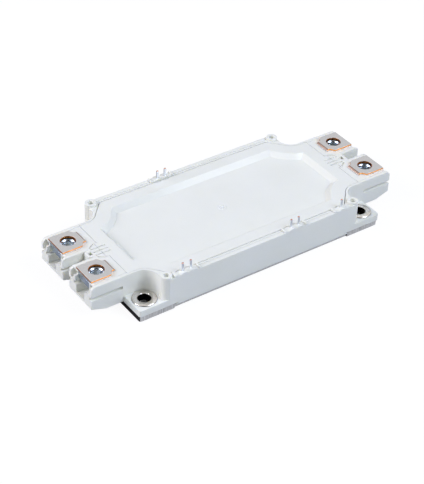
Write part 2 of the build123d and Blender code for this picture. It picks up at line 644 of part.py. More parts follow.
# Pin strips: a clip-in bar with a cap over the wall's top, a rib at the ends and a hump round each pin
strip_top = BODY_HEIGHT + STRIP_PROUD
for number, strip in enumerate(strips, start=1):
    side_sign = strip["side"]
    strip_x = strip["ends"]
    strip_y = (side_sign * rim_inner, side_sign * STRIP_OUTER_Y)
    cap_y = (side_sign * rim_inner, side_sign * (half_body - STRIP_CAP_INSET))
    hump_plane = Plane.XZ.offset(-min(cap_y))
    with BuildPart() as pin_strip:
        block(strip_x, strip_y, (STRIP_BOTTOM, BODY_HEIGHT))
        block(strip_x, cap_y, (BODY_HEIGHT, strip_top))
        rib_starts = [strip_x[0], strip_x[1] - RIB_WIDTH] if len(strip["pins"]) > 1 else [strip_x[0]]
        for rib_start in rib_starts:
            block((rib_start, rib_start + RIB_WIDTH), cap_y, (BODY_HEIGHT, BODY_HEIGHT + RIB_PROUD))
        for pin_x in strip["pins"]:
            with BuildSketch(hump_plane):
                with BuildLine():
                    Polyline(
                        (pin_x - COLLAR_BASE / 2, strip_top),
                        (pin_x - COLLAR_TOP / 2, strip_top + COLLAR_HEIGHT),
                        (pin_x + COLLAR_TOP / 2, strip_top + COLLAR_HEIGHT),
                        (pin_x + COLLAR_BASE / 2, strip_top),
                        close=True,
                    )
                make_face()
            extrude(amount=-abs(cap_y[1] - cap_y[0]))
        for pin_x in strip["pins"]:
            hole_x = (pin_x - PIN_WIDTH / 2, pin_x + PIN_WIDTH / 2)
            hole_y = (side_sign * (PIN_Y - PIN_THICKNESS / 2), side_sign * (PIN_Y + PIN_THICKNESS / 2))
            block(hole_x, hole_y, (STRIP_BOTTOM, PIN_TIP_HEIGHT), Mode.SUBTRACT)
    save(pin_strip.part, f"pin_strip_{number}")

# Substrates: ceramic with copper bonded to both faces, the top one etched into three tracks
copper_length = SUBSTRATE_LENGTH - 2 * COPPER_MARGIN
ceramic_bottom = BASE_THICKNESS + COPPER_THICKNESS
ceramic_top = ceramic_bottom + CERAMIC_THICKNESS
chip_top = track_top + CHIP_THICKNESS
for number, middle_x in enumerate(substrate_xs, start=1):
    copper_x = (middle_x - copper_length / 2, middle_x + copper_length / 2)
    ceramic_x = (middle_x - SUBSTRATE_LENGTH / 2, middle_x + SUBSTRATE_LENGTH / 2)
    with BuildPart() as bottom_copper:
        block(copper_x, (-copper_half, copper_half), (BASE_THICKNESS, ceramic_bottom))
    save(bottom_copper.part, f"substrate_copper_{number}")
    with BuildPart() as ceramic:
        block(ceramic_x, (-SUBSTRATE_WIDTH / 2, SUBSTRATE_WIDTH / 2), (ceramic_bottom, ceramic_top))
    save(ceramic.part, f"substrate_ceramic_{number}")
    with BuildPart() as top_copper:
        for track_y, track_width in tracks.values():
            track_range = (track_y - track_width / 2, track_y + track_width / 2)
            block(copper_x, track_range, (ceramic_top, track_top))
    save(top_copper.part, f"copper_tracks_{number}")
    potted += [bottom_copper.part, ceramic.part, top_copper.part]

# Chips: one of each kind on the plus track and on the output track of every substrate
chips = {"igbt_chip": (IGBT_SIZE, IGBT_X), "diode_chip": (DIODE_SIZE, DIODE_X)}
for kind, (size, offset_x) in chips.items():
    number = 0
    for middle_x in substrate_xs:
        for track in ("plus", "output"):
            number += 1
            chip_x = (middle_x + offset_x - size / 2, middle_x + offset_x + size / 2)
            chip_y = (tracks[track][0] - size / 2, tracks[track][0] + size / 2)
            with BuildPart() as chip:
                block(chip_x, chip_y, (track_top, chip_top))
            save(chip.part, f"{kind}_{number}")
            potted.append(chip.part)


def wire_outline(start, end):
    """Side view of a bond wire that rises from one seat, runs level and comes down on the other."""
    (a, z_a), (b, z_b) = start, end
    step = 1 if b > a else -1
    top = max(z_a, z_b) + WIRE_RISE
    Polyline(
        (a, z_a),
        (a + step * WIRE_SHOULDER, top),
        (b - step * WIRE_SHOULDER, top),
        (b, z_b),
        (b - step * WIRE_SIZE, z_b),
        (b - step * (WIRE_SHOULDER + WIRE_SIZE / 2), top - WIRE_SIZE),
        (a + step * (WIRE_SHOULDER + WIRE_SIZE / 2), top - WIRE_SIZE),
        (a + step * WIRE_SIZE, z_a),
        close=True,
    )


def wire(x, start, end):
    with BuildSketch(Plane.YZ.offset(x - WIRE_SIZE / 2)) as wire_side:
        with BuildLine():
            wire_outline(start, end)
        make_face()
    extrude(wire_side.sketch, amount=WIRE_SIZE)


# Bond wires: from each chip on the plus track to the output track, and from each chip on the
# output track to the minus track
output_landing = output_top - WIRE_LANDING
minus_landing = minus_top - WIRE_LANDING
for number, middle_x in enumerate(substrate_xs, start=1):
    with BuildPart() as bond_wires:
        for offset_x, count in ((IGBT_X, IGBT_WIRES), (DIODE_X, DIODE_WIRES)):
            for n in range(count):
                wire_x = middle_x + offset_x + WIRE_PITCH * (n - (count - 1) / 2)
                wire(wire_x, (plus_track[0], chip_top), (output_landing, track_top))
                wire(wire_x, (output_track[0], chip_top), (minus_landing, track_top))
    save(bond_wires.part, f"bond_wires_{number}")
    potted.append(bond_wires.part)

# Bond wires from the feet of the control pins to the substrates
pin_foot_top = shelf_top + PIN_FOOT_THICKNESS
pin_foot_end = PIN_Y - PIN_FOOT_LENGTH
with BuildPart() as pin_wires:
    for strip in strips:
        for pin_x in strip["pins"]:
            start_y = strip["side"] * (pin_foot_end + WIRE_LANDING)
            end_y = strip["side"] * (copper_half - WIRE_LANDING)
            wire(pin_x + PIN_WIRE_SHIFT, (start_y, pin_foot_top), (end_y, track_top))
save(pin_wires.part, "pin_wires")
potted.append(pin_wires.part)

# Links that join each track to the same track of the next substrate
for name, (track_y, _) in tracks.items():
    link_y = (track_y - LINK_WIDTH / 2, track_y + LINK_WIDTH / 2)
    link_top = track_top + LINK_RISE
    for number, (left_x, right_x) in enumerate(zip(substrate_xs, substrate_xs[1:]), start=1):
        edges = ((left_x + copper_length / 2, 1), (right_x - copper_length / 2, -1))
        with BuildPart() as link:
            for edge_x, outward in edges:
                inside = edge_x - outward * LINK_PAD
                riser = edge_x - outward * LINK_THICKNESS
                block((inside, edge_x), link_y, (track_top, track_top + LINK_THICKNESS))
                block((riser, edge_x), link_y, (track_top, link_top))
            block((edges[0][0], edges[1][0]), link_y, (link_top - LINK_THICKNESS, link_top))
        save(link.part, f"link_{name}_{number}")
        potted.append(link.part)

# Thermistor, on the minus track of the middle substrate
thermistor_y = (minus_track[0] - THERMISTOR_WIDTH / 2, minus_track[0] + THERMISTOR_WIDTH / 2)
thermistor_x = (THERMISTOR_X - THERMISTOR_LENGTH / 2, THERMISTOR_X + THERMISTOR_LENGTH / 2)
with BuildPart() as thermistor:
    block(thermistor_x, thermistor_y, (track_top, track_top + THERMISTOR_HEIGHT))
save(thermistor.part, "thermistor")
potted.append(thermistor.part)

# Soft gel that fills the space round the circuit, up to a level under the lid
with BuildPart() as gel:
    with BuildSketch(Plane.XY.offset(BASE_THICKNESS)):
        add(well_outline.sketch)
    extrude(amount=PIN_SHELF_HEIGHT)
    with BuildSketch(Plane.XY.offset(shelf_top)):
        add(space_outline.sketch)
    extrude(amount=GEL_TOP - shelf_top)
    for piece in potted:
        add(piece, mode=Mode.SUBTRACT)
save(gel.part, "silicone_gel")
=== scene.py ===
import math

import bmesh
import bpy
from mathutils import Matrix, Vector


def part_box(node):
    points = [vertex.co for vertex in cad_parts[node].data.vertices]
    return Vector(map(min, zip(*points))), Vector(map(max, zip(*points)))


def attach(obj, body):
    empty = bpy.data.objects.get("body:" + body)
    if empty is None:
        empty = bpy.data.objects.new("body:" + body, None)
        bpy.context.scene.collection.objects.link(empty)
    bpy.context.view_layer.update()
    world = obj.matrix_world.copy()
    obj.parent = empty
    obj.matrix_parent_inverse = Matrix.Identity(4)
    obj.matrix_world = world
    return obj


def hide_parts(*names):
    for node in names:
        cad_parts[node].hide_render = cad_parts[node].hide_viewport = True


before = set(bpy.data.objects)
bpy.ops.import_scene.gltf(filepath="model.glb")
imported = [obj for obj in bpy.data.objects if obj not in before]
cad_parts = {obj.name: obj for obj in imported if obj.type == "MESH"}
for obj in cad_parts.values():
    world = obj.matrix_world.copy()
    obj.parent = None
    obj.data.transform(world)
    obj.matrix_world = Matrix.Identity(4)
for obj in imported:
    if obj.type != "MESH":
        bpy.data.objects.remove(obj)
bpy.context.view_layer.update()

# Level of the deck, which is the top of the lid
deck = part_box("lid")[1][2]

# General sizes, in metres
MM = 0.001
MERGE_DISTANCE = 0.004 * MM
EDGE_ANGLE = math.radians(35)
FLAT_ANGLE = math.radians(0.5)

# Edge rounding that the mould, the press or the barrel leaves
PAD_EDGE = 0.07 * MM
PIN_EDGE = 0.1 * MM
NUT_EDGE = 0.12 * MM
BASE_EDGE = 0.12 * MM
MOULD_EDGE = 0.18 * MM

# The comb between the arms: where it is, how deep its slits are in the solid, and how deep they look
COMB_START = 58.0 * MM
COMB_HALF_WIDTH = 6.5 * MM
COMB_CUT = 1.65 * MM
COMB_DEPTH = 0.6 * MM

# The grooves along the arms: how far their floors are from the terminal's axis, their levels, and how
# much deeper they are made
ARM_START = 60.0 * MM
GROOVE_FLOOR = 7.7 * MM
GROOVE_LOW = 9.6 * MM
GROOVE_HIGH = 11.3 * MM
GROOVE_DEEPER = 0.7 * MM

# The nubs in the arms' noses: the levels that are lowered and what they become, how far out from the
# terminal's axis a nub reaches, and how far in when it is slim
NOSE_START = 74.0 * MM
NUB_LEVELS = {11.9 * MM: 10.7 * MM, 14.3 * MM: 11.6 * MM}
NUB_OUTER = 5.05 * MM
NUB_SLIM = 3.9 * MM

# The stand-offs' screw holes, and how far below their mouths the plugs are
STANDOFF_X = 47.25 * MM
STANDOFF_Y = 28.75 * MM
STANDOFF_BORE = 1.3 * MM
PLUG_DEPTH = 0.5 * MM

# The skirt beside the baseplate: below what level its foot is in the solid and where it is raised to,
# and where its ends are in the solid and where they are moved to
SKIRT_LOW = 1.5 * MM
SKIRT_BOTTOM = 2.2 * MM
SKIRT_END = 42.6 * MM
SKIRT_REACH = 44.0 * MM

# The first pin strip's end and how much further it reaches, and the lid's long sides and their gap
STRIP_END = -43.8 * MM
STRIP_REACH = 0.8 * MM
LID_EDGE_Y = 28.05 * MM
RIM_GAP = 0.25 * MM

# Screw terminals: where their holes are, and how far down the cut edges the copper is bare
TERMINAL_X = 68.5 * MM
TERMINAL_Y = 11.0 * MM
SCREW_HOLE = 6.6 * MM
SHEET_TOP = 17.0 * MM
BARE_COPPER = 0.5 * MM
DRAWN_TIN = 0.8 * MM

# How much of a face's normal lies along an axis where one finish gives way to another
FACING = 0.9
ACROSS = 0.1
PAST_BEND = 0.98
END_FACING = 0.7
TIP_FACING = 0.3

# Control pins: how far down from the tip the wire's cut end reaches
CUT_TIP = 0.3 * MM

# Gate mark in the dish: its level, and its profile in mm as radius and height, the foot let into the lid
DISH_LEVEL = 13.93 * MM
GATE_PROFILE = [
    (0.0, -0.2), (1.9, -0.2), (1.9, -0.02), (1.6, 0.16), (1.3, 0.18),
    (1.0, 0.0), (0.6, -0.06), (0.4, 0.3), (0.0, 0.38),
]

# Turned bushes
BUSH_RIM_RADIUS = 0.55 * MM
BUSH_MOUTH_RADIUS = 0.35 * MM
BUSH_BORE = 5.5 * MM
RIM_FOOT = 0.12 * MM
TURNING_STEPS = 72
ARC_STEPS = 6

# Captive nuts: the flat that shows in the nose, the plate that it becomes, and the thread's sizes
NUT_FLAT = 73.4 * MM
NUT_PLATE_X = 74.25 * MM
NUT_PLATE_WIDER = 1.47
NUT_PLATE_BOTTOM = 12.6 * MM
THREAD_MAJOR = 5.2 * MM
THREAD_MINOR = 5.04 * MM
THREAD_PITCH = 1.0 * MM
COIL_STEPS = 48
RIDGE_SIDES = 4

# Surface patterns: the part of a noise that is used, and its stretch
NOISE_SPAN = {"From Min": 0.3, "From Max": 0.7}
EVEN = (1, 1, 1)
UPRIGHT = (1, 1, 0.05)
ERODED_GRAIN = 0.35 * MM
ERODED_DEPTH = 0.02 * MM
FLOW_MARK = 18 * MM
TOOL_MARK_DEPTH = 0.01 * MM

# White paper sweep, which lies a gap below the baseplate, so that the two faces are not in one plane
FLOOR_SIZE = 6
FLOOR_GAP = 0.02 * MM
PAPER_GLOW = 1.16
PAPER_GLOW_SHARE = 0.8

# Studio: softboxes, the even light of the room, and the unlit side that shiny metal sees
SOFTBOX_WIDTH = 0.6
ROOM_LIGHT = 0.26
UNLIT = 0.05
UNLIT_EDGE = math.cos(math.radians(34))
UNLIT_CORE = math.cos(math.radians(18))

# Viewpoint, fitted to the photograph: where the camera stands, how it is turned, and its lens
CAMERA_PLACE = Vector((-296.63, -398.10, 372.34)) * MM
CAMERA_YAW = 36.266
CAMERA_TILT = -52.79
CAMERA_ROLL = -2.348
CAMERA_LENS = 107.96
CAMERA_SENSOR = 36.0
CAMERA_NEAR = 0.01
CAMERA_FAR = 20


def colour(code):
    """Linear RGBA of an sRGB hex colour such as #E8EDF0."""
    parts = [int(code[i:i + 2], 16) / 255 for i in (1, 3, 5)]
    linear = [c / 12.92 if c <= 0.04045 else ((c + 0.055) / 1.055) ** 2.4 for c in parts]
    return (*linear, 1.0)


WHITE = colour("#FFFFFF")


def add(tree, kind, inputs=None, **settings):
    """Adds a node. inputs maps a socket's name or number to a value or to another node's output."""
    node = tree.nodes.new(kind)
    for name, value in settings.items():
        setattr(node, name, value)
    for name, value in (inputs or {}).items():
        socket = node.inputs[name]
        if isinstance(value, bpy.types.NodeSocket):
            tree.links.new(value, socket)
        else:
            socket.default_value = value
    return node


def start_material(name):
    material = bpy.data.materials.new(name)
    material.use_nodes = True
    material.node_tree.nodes.clear()
    return material, material.node_tree


def mottle(tree, light, dark, size, detail, stretch=EVEN):
    """A colour that wanders from light to dark over blotches of a size in metres, and its pattern.
    A small stretch along an axis draws the blotches out into strokes that way. The grain and the tool
    marks of the real surfaces are finer than a pixel, so their sizes here are as coarse as they must
    be to show."""
    place = add(tree, "ShaderNodeTexCoord").outputs["Object"]
    drawn_out = add(tree, "ShaderNodeMapping", {"Vector": place, "Scale": stretch}).outputs[0]
    pattern = add(tree, "ShaderNodeTexNoise", {
        "Vector": drawn_out,
        "Scale": 1 / size,
        "Detail": detail,
    }).outputs[0]
    share = add(tree, "ShaderNodeMapRange", {"Value": pattern, **NOISE_SPAN}).outputs[0]
    tones = {0: share, 6: colour(light), 7: colour(dark)}
    tint = add(tree, "ShaderNodeMix", tones, data_type="RGBA").outputs[2]
    return tint, pattern


def moulded_pbt():
    """White glass-filled PBT from a spark-eroded mould: satin, with an even fine grain and edges a
    little rounded. It lets some light in, so narrow slots glow a warm olive instead of going black.
    The eroded grain is really some 0.05 mm across, and is drawn at 0.35 mm to show."""
    material, tree = start_material("moulded_pbt")
    tint, _ = mottle(tree, "#EEEEE6", "#EBEBE2", FLOW_MARK, 3.0)
    place = add(tree, "ShaderNodeTexCoord").outputs["Object"]
    grain = add(tree, "ShaderNodeTexNoise", {
        "Vector": place,
        "Scale": 1 / ERODED_GRAIN,
        "Detail": 3.0,
    }).outputs[0]
    rounded = add(tree, "ShaderNodeBevel", {"Radius": MOULD_EDGE}, samples=6).outputs[0]
    bump = add(tree, "ShaderNodeBump", {
        "Strength": 0.1,
        "Distance": ERODED_DEPTH,
        "Height": grain,
        "Normal": rounded,
    }).outputs[0]
    roughness = add(tree, "ShaderNodeMapRange", {
        "Value": grain,
        **NOISE_SPAN,
        "To Min": 0.27,
        "To Max": 0.35,
    }).outputs[0]
    shader = add(tree, "ShaderNodeBsdfPrincipled", {
        "Base Color": tint,
        "Roughness": roughness,
        "IOR": 1.5,
        "Subsurface Weight": 0.35,
        "Subsurface Radius": (1.0, 0.93, 0.7),
        "Subsurface Scale": 0.9 * MM,
        "Normal": bump,
    }).outputs[0]
    add(tree, "ShaderNodeOutputMaterial", {"Surface": shader})
    return material


def metal(name, light, dark, size, rough, stretch=EVEN):
    """A metal whose tone and roughness wander together over blotches or strokes of a size."""
    material, tree = start_material(name)
    tint, marks = mottle(tree, light, dark, size, 5.0, stretch)
    bump = add(tree, "ShaderNodeBump", {
        "Strength": 0.3,
        "Distance": TOOL_MARK_DEPTH,
        "Height": marks,
    }).outputs[0]
    roughness = add(tree, "ShaderNodeMapRange", {
        "Value": marks,
        **NOISE_SPAN,
        "To Min": rough[0],
        "To Max": rough[1],
    }).outputs[0]
    shader = add(tree, "ShaderNodeBsdfPrincipled", {
        "Base Color": tint,
        "Metallic": 1.0,
        "Roughness": roughness,
        "Normal": bump,
    }).outputs[0]
    add(tree, "ShaderNodeOutputMaterial", {"Surface": shader})
    return material


def sheared_edge(name, light, dark):
    """Cut edge of the tinned sheet: bare copper near the top face, with upright strokes from the
    blade, and tin drawn over it lower down."""
    material, tree = start_material(name)
    copper, strokes = mottle(tree, light, dark, 0.3 * MM, 5.0, UPRIGHT)
    place = add(tree, "ShaderNodeTexCoord").outputs["Object"]
    level = add(tree, "ShaderNodeSeparateXYZ", {"Vector": place}).outputs["Z"]
    bare = add(tree, "ShaderNodeMapRange", {
        "Value": level,
        "From Min": SHEET_TOP - DRAWN_TIN,
        "From Max": SHEET_TOP - BARE_COPPER,
    }).outputs[0]
    tones = {0: bare, 6: colour("#E6E5E4"), 7: copper}
    tint = add(tree, "ShaderNodeMix", tones, data_type="RGBA").outputs[2]
    roughness = add(tree, "ShaderNodeMapRange", {
        "Value": strokes,
        **NOISE_SPAN,
        "To Min": 0.25,
        "To Max": 0.4,
    }).outputs[0]
    shader = add(tree, "ShaderNodeBsdfPrincipled", {
        "Base Color": tint,
        "Metallic": 1.0,
        "Roughness": roughness,
    }).outputs[0]
    add(tree, "ShaderNodeOutputMaterial", {"Surface": shader})
    return material


def dull_solid(name, light, dark, size, roughness):
    """A non-metal with a faint mottle of a size."""
    material, tree = start_material(name)
    tint, _ = mottle(tree, light, dark, size, 3.0)
    look = {"Base Color": tint, "Roughness": roughness}
    shader = add(tree, "ShaderNodeBsdfPrincipled", look).outputs[0]
    add(tree, "ShaderNodeOutputMaterial", {"Surface": shader})
    return material


finishes = {
    "moulded_pbt": moulded_pbt(),
    # Tin electroplated on copper: pale grey, satin, hardly any direction
    "tin_plating": metal("tin_plating", "#C8C7C8", "#C0BFC0", 0.6 * MM, (0.34, 0.42)),
    # Tin stretched thin over the bend, with copper showing through: grey-brown
    "worn_tin": metal("worn_tin", "#A48F84", "#82695C", 0.4 * MM, (0.35, 0.45)),
    # Copper laid bare by the shear: a bright orange line under the tin
    "sheared_copper": sheared_edge("sheared_copper", "#FFB866", "#F0963C"),
    # Painted shade on the copper line at the sheet's ends: the same line, browner
    "copper_end_painted_shade": sheared_edge("copper_end_painted_shade", "#D98848", "#A85A28"),
    # Copper in the punched hole, burnished over its whole depth: darker and glossier
    "punched_copper": metal("punched_copper", "#F4A25C", "#B4662F", 0.3 * MM, (0.2, 0.3), UPRIGHT),
    # Copper under a smear of tin, where the wire was cut off: pale brown
    "cut_wire": metal("cut_wire", "#B98469", "#9C6A52", 0.2 * MM, (0.3, 0.4)),
    # Matt nickel plated on copper, with upright strokes from the press: pale and a little warm
    "nickel_plated_copper": metal(
        "nickel_plated_copper", "#F2F0EC", "#C6C3BE", 0.35 * MM, (0.55, 0.7), UPRIGHT
    ),
    # Painted shade on the baseplate's ends and steps, where they lie in shadow: near black
    "painted_shade_end": metal("painted_shade_end", "#4B4846", "#33302E", 0.35 * MM, (0.4, 0.5), UPRIGHT),
    # Painted shade on steel in a bore and at the foot of a rim: dark brown
    "painted_shade_bore": metal("painted_shade_bore", "#3C3128", "#1E1812", 0.5 * MM, (0.2, 0.3)),
    # Turned steel under bright nickel: glossy and a little warm
    "nickel_plated_steel": metal("nickel_plated_steel", "#DAD6D0", "#CAC5BE", 0.8 * MM, (0.16, 0.26)),
    # Steel under blue-passivated zinc: glossy with a cold tint
    "zinc_plated_steel": metal("zinc_plated_steel", "#D0DAE4", "#B4C2D0", 0.9 * MM, (0.12, 0.22)),
    # Drawn wire under tin, with strokes along it: bright and cold
    "tinned_wire": metal("tinned_wire", "#F2F4F6", "#E0E4E9", 0.5 * MM, (0.28, 0.38), UPRIGHT),
    # Rolled copper with nothing on it: salmon and satin
    "bare_copper": metal("bare_copper", "#E08A58", "#C8703F", 0.8 * MM, (0.3, 0.4)),
    # Drawn aluminium wire: pale grey and softly bright
    "aluminium_wire": metal("aluminium_wire", "#D9DADC", "#C8C9CB", 0.5 * MM, (0.25, 0.35)),
    # Fired alumina: off-white and matt
    "alumina": dull_solid("alumina", "#F1F0EC", "#E8E6E0", 0.8 * MM, 0.6),
    # Polished silicon: slate grey and glossy
    "silicon": dull_solid("silicon", "#5C6068", "#4A4E57", 1.5 * MM, 0.25),
    # Sintered sensor ceramic: brown and half matt
    "sensor_ceramic": dull_solid("sensor_ceramic", "#6B5A48", "#5C4C3C", 0.5 * MM, 0.5),
    # Cured silicone gel: pale and wet. It is drawn opaque, since the lid hides it
    "silicone_gel": dull_solid("silicone_gel", "#E4E6E2", "#DADCD8", 6 * MM, 0.15),
}

# The record's material slots: the finish of each, and how the names of its nodes begin
slots = {
    "white_plastic": ("moulded_pbt", ("housing_frame", "lid", "pin_strip")),
    "nickel_on_copper": ("nickel_plated_copper", ("baseplate",)),
    "nickel_on_steel": ("nickel_plated_steel", ("mounting_bush",)),
    "zinc_on_steel": ("zinc_plated_steel", ("terminal_nuts",)),
    "tin_on_copper": ("tin_plating", ("terminal_plus", "terminal_minus", "terminal_output")),
    "tinned_wire": ("tinned_wire", ("control_pin",)),
    "alumina": ("alumina", ("substrate_ceramic",)),
    "bare_copper": ("bare_copper", ("substrate_copper", "copper_tracks", "link")),
    "silicon": ("silicon", ("igbt_chip", "diode_chip")),
    "aluminium_wire": ("aluminium_wire", ("bond_wires", "pin_wires")),
    "sensor_ceramic": ("sensor_ceramic", ("thermistor",)),
    "gel": ("silicone_gel", ("silicone_gel",)),
}
slot_of = {}
for node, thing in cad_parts.items():
    fitting = ((slot, finish) for slot, (finish, starts) in slots.items() if node.startswith(starts))
    slot_of[node], finish = next(fitting)
    thing.data.materials.clear()
    thing.data.materials.append(finishes[finish])


def object_of(mesh, name):
    """A new object in the scene, at the origin, that shows a mesh."""
    mesh.name = name
    thing = bpy.data.objects.new(name, mesh)
    bpy.context.scene.collection.objects.link(thing)
    return thing


def smoothed(mesh):
    """Smooth shading with sharp edges where the form has them."""
    for face in mesh.polygons:
        face.use_smooth = True
    mesh.set_sharp_from_angle(angle=EDGE_ANGLE)


def placed(thing, *nodes):
    """Makes a finished piece ride on the module in the place of some of its CAD nodes."""
    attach(thing, "root")
    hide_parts(*nodes)


def merged_copy(node, name, whole_faces=True):
    """A new object with a CAD node's mesh, its doubles merged and its flat faces made whole."""
    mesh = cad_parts[node].data.copy()
    work = bmesh.new()
    work.from_mesh(mesh)
    bmesh.ops.remove_doubles(work, verts=work.verts, dist=MERGE_DISTANCE)
    if whole_faces:
        bmesh.ops.dissolve_limit(work, angle_limit=FLAT_ANGLE, verts=work.verts, edges=work.edges)
    work.to_mesh(mesh)
    work.free()
    if mesh.has_custom_normals:
        mesh.attributes.remove(mesh.attributes["custom_normal"])
    return object_of(mesh, name)


def round_edges(thing, radius):
    rounding = thing.modifiers.new("edge rounding", "BEVEL")
    rounding.width = radius
    rounding.segments = 2
    rounding.limit_method = "ANGLE"
    rounding.angle_limit = EDGE_ANGLE
    rounding.harden_normals = True


def finish_faces(mesh, finish_of, *added):
    """Adds finishes to a mesh, and gives each face the one that finish_of names for it."""
    for name in added:
        mesh.materials.append(finishes[name])
    order = list(mesh.materials)
    for face in mesh.polygons:
        face.material_index = order.index(finishes[finish_of(face)])


# Mouldings. Each of these functions moves the points of one detail
def comb_slit(place):
    """The comb's slits look shallow in the photograph's light, so they are."""
    in_comb = abs(place.x) > COMB_START and abs(place.y) < COMB_HALF_WIDTH
    if in_comb and deck - COMB_CUT < place.z < deck - COMB_DEPTH:
        place.z = deck - COMB_DEPTH


def arm_groove(place):
    """The grooves along the arms are deep."""
    off_axis = place.y - math.copysign(TERMINAL_Y, place.y)
    on_floor = abs(abs(off_axis) - GROOVE_FLOOR) < MERGE_DISTANCE
    if abs(place.x) > ARM_START and on_floor and GROOVE_LOW < place.z < GROOVE_HIGH:
        place.y -= math.copysign(GROOVE_DEEPER, off_axis)


def nose_nub(place):
    """The nubs beside the nuts are slim, and one of each two is low."""
    off_axis = place.y - math.copysign(TERMINAL_Y, place.y)
    if abs(place.x) > NOSE_START and abs(off_axis) < NUB_OUTER:
        for level, lowered in NUB_LEVELS.items():
            if abs(place.z - level) < MERGE_DISTANCE:
                if abs(off_axis) < NUB_SLIM:
                    place.y += math.copysign(NUB_SLIM - abs(off_axis), off_axis)
                if off_axis * place.x > 0:
                    place.z = lowered


def standoff_plug(place):
    """The stand-offs' screw holes end in a pale plug just below their mouths."""
    off_axis = math.hypot(abs(place.x) - STANDOFF_X, abs(place.y) - STANDOFF_Y)
    if off_axis < STANDOFF_BORE and place.z < deck:
        place.z = deck - PLUG_DEPTH


def skirt_edge(place):
    """The skirt stops short of the baseplate's foot, and reaches to the ends of its waist."""
    if place.z < SKIRT_LOW:
        place.z = SKIRT_BOTTOM
        if abs(abs(place.x) - SKIRT_END) < MERGE_DISTANCE:
            place.x = math.copysign(SKIRT_REACH, place.x)


def strip_end(place):
    """The first strip reaches almost to its stand-off."""
    if place.x < STRIP_END:
        place.x -= STRIP_REACH


def lid_side(place):
    """The lid's long sides stand clear of the rim."""
    if abs(place.y) > LID_EDGE_Y:
        place.y -= math.copysign(RIM_GAP, place.y)


# Smooth curves throughout, and the edges rounded by the material
mouldings = {
    "housing_frame": (comb_slit, arm_groove, nose_nub, standoff_plug, skirt_edge),
    "lid": (lid_side,),
    "pin_strip_1": (strip_end,),
    "pin_strip_2": (),
    "pin_strip_3": (),
    "pin_strip_4": (),
}
for node, details in mouldings.items():
    moulding = merged_copy(node, f"{node}_moulding", whole_faces=False)
    for point in moulding.data.vertices:
        for detail in details:
            detail(point.co)
    smoothed(moulding.data)
    placed(moulding, node)


# Baseplate
def baseplate_finish_and_shade(face):
    """Nickel on the faces and long edges, and painted shade, near black, on the ends and steps."""
    return "painted_shade_end" if abs(face.normal.x) > END_FACING else "nickel_plated_copper"


baseplate = merged_copy("baseplate", "baseplate_pressing")
smoothed(baseplate.data)
# The ends and steps take painted shade
finish_faces(baseplate.data, baseplate_finish_and_shade, "painted_shade_end")
round_edges(baseplate, BASE_EDGE)
placed(baseplate, "baseplate")


# Screw terminals
def sheet_finish_and_shade(face):
    """Tin on the sheet's two faces, bare copper where it was cut, worn tin on the bend, and painted
    shade as a browner copper line on the ends.
    """
    x = abs(face.center.x) - TERMINAL_X
    y = abs(face.center.y) - TERMINAL_Y
    upright = abs(face.normal.z) < ACROSS
    above_deck = face.center.z > deck
    if upright and math.hypot(x, y) < SCREW_HOLE / 2 + MERGE_DISTANCE:
        return "punched_copper"
    # The sheet's ends take a browner copy of the cut edge as painted shade
    if above_deck and abs(face.normal.x) > FACING:
        return "copper_end_painted_shade"
    if abs(face.normal.y) > FACING or (upright and above_deck):
        return "sheared_copper"
    if above_deck and ACROSS < face.normal.z < PAST_BEND:
        return "worn_tin"
    return "tin_plating"


for node in ("terminal_plus", "terminal_minus", "terminal_output_a", "terminal_output_b"):
    terminal = merged_copy(node, f"{node}_sheet")
    smoothed(terminal.data)
    cut_finishes = ("sheared_copper", "worn_tin", "punched_copper", "copper_end_painted_shade")
    finish_faces(terminal.data, sheet_finish_and_shade, *cut_finishes)
    round_edges(terminal, PAD_EDGE)
    placed(terminal, node)


# Control pins
def wire_finish(face):
    """Bare copper where the tip was cut, and tin elsewhere."""
    at_tip = face.center.z > pin_top - CUT_TIP and face.normal.z > TIP_FACING
    return "cut_wire" if at_tip else "tinned_wire"


for number in range(1, 8):
    node = f"control_pin_{number}"
    pin_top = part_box(node)[1][2]
    pin = merged_copy(node, f"control_pin_wire_{number}")
    smoothed(pin.data)
    finish_faces(pin.data, wire_finish, "cut_wire")
    round_edges(pin, PIN_EDGE)
    placed(pin, node)


# Tools for what is turned or repeated
def turned(name, section, closed):
    """A mesh turned round the Z axis from a section of (radius, height) points."""
    work = bmesh.new()
    rings = []
    for step in range(TURNING_STEPS):
        turn = 2 * math.pi * step / TURNING_STEPS
        ring = [(r * math.cos(turn), r * math.sin(turn), z) for r, z in section]
        rings.append([work.verts.new(place) for place in ring])
    sides = len(section) if closed else len(section) - 1
    for here, there in zip(rings, rings[1:] + rings[:1]):
        for n in range(sides):
            after = (n + 1) % len(section)
            work.faces.new((here[n], there[n], there[after], here[after]))
    bmesh.ops.remove_doubles(work, verts=work.verts, dist=MERGE_DISTANCE / 10)
    bmesh.ops.recalc_face_normals(work, faces=work.faces)
    mesh = bpy.data.meshes.new(name)
    work.to_mesh(mesh)
    work.free()
    smoothed(mesh)
    return mesh


def size_tree(name, sizes):
    """An empty geometry tree with a named number for each size, and the outputs that give the inputs."""
    tree = bpy.data.node_groups.new(name, "GeometryNodeTree")
    tree.interface.new_socket("Geometry", in_out="INPUT", socket_type="NodeSocketGeometry")
    for size_name in sizes:
        tree.interface.new_socket(size_name, in_out="INPUT", socket_type="NodeSocketFloat")
    tree.interface.new_socket("Geometry", in_out="OUTPUT", socket_type="NodeSocketGeometry")
    return tree, add(tree, "NodeGroupInput").outputs


def end_tree(tree, instances, material):
    """Ends a tree in plain geometry with a material."""
    plain = add(tree, "GeometryNodeRealizeInstances", {"Geometry": instances}).outputs[0]
    look = {"Geometry": plain, "Material": material}
    dressed = add(tree, "GeometryNodeSetMaterial", look).outputs[0]
    add(tree, "NodeGroupOutput", {"Geometry": dressed})


